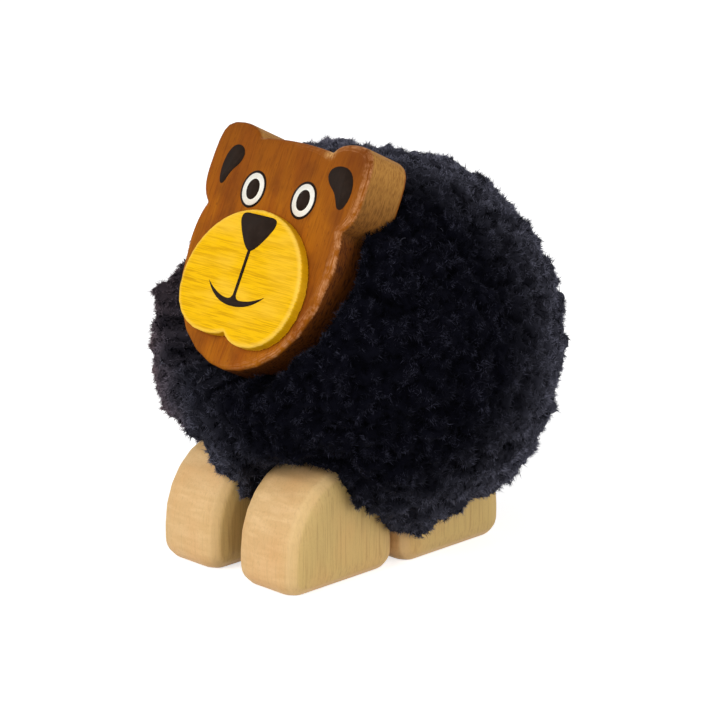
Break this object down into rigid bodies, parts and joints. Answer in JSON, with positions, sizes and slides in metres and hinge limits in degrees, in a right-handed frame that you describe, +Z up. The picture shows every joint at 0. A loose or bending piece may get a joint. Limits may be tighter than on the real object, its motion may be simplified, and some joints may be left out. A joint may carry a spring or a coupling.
{
  "type": "bear ornament",
  "caption": "Standing bear ornament: flat wooden head with a raised muzzle and painted face, a fluffy ball-shaped body of dark pile, and arched wooden feet.",
  "frame": {"origin": "on the floor plane under the feet, below the middle of the bounding box", "axes": "+Z up, the bear looks along -Y, +X is the bear's own left"},
  "size_m": [0.098, 0.0976, 0.1015],
  "materials": {
    "stained_wood": "brown stain under a satin lacquer, edges sanded round",
    "yellow_wood": "yellow stain under a satin lacquer, grain across",
    "pale_wood": "bare, finely sanded",
    "core_wood": "bare, hidden inside",
    "black_pile": "matt fluffy yarn pile",
    "dark_paint": "thin brown-black paint",
    "white_paint": "thin cream-white paint"
  },
  "bodies": {
    "root": {"head_board": "stained_wood", "muzzle_plate": "yellow_wood", "eye_outline_left": "dark_paint", "eye_outline_right": "dark_paint", "eye_white_left": "white_paint", "eye_white_right": "white_paint", "eye_pupil_left": "dark_paint", "eye_pupil_right": "dark_paint", "ear_mark_left": "dark_paint", "ear_mark_right": "dark_paint", "nose": "dark_paint", "mouth": "dark_paint", "pile_coat": "black_pile", "body_core": "core_wood", "neck_dowel": "core_wood", "leg_dowel_front_left": "core_wood", "leg_dowel_front_right": "core_wood", "leg_dowel_rear_left": "core_wood", "leg_dowel_rear_right": "core_wood", "foot_front_left": "pale_wood", "foot_front_right": "pale_wood", "foot_rear_left": "pale_wood", "foot_rear_right": "pale_wood"}
  },
  "joints": []
}
